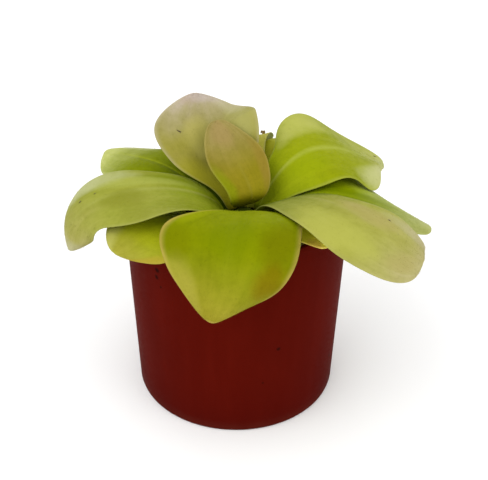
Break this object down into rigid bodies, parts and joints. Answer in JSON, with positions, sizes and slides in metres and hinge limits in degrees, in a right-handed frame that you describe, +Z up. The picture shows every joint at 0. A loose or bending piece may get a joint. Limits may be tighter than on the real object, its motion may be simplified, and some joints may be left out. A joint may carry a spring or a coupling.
{
  "type": "potted butterwort",
  "caption": "Butterwort plant: a rosette of broad, soft, pale green leaves drooping over the rim of a small round brown plastic pot.",
  "frame": {"origin": "centre of the pot's underside, on the surface the pot stands on", "axes": "+Z up through the plant, -Y towards the plant's front, where the large front leaf hangs over the rim"},
  "size_m": [0.1395, 0.1245, 0.1147],
  "materials": {
    "pot_plastic": "matte",
    "potting_mix": "matte",
    "crown_tissue": "satin",
    "leaf_green": "satin",
    "leaf_pale": "satin",
    "leaf_blush": "satin"
  },
  "bodies": {
    "root": {"pot": "pot_plastic", "potting_mix": "potting_mix", "crown": "crown_tissue", "leaf_left_low": "leaf_green", "leaf_right": "leaf_green", "leaf_back_left": "leaf_green", "leaf_right_low": "leaf_green", "leaf_left_back": "leaf_green", "leaf_back_right": "leaf_green", "leaf_left": "leaf_pale", "leaf_back": "leaf_green", "leaf_front": "leaf_green", "leaf_right_front": "leaf_pale", "leaf_right_back": "leaf_green", "leaf_back_upright": "leaf_blush", "leaf_young": "leaf_blush"}
  },
  "joints": []
}
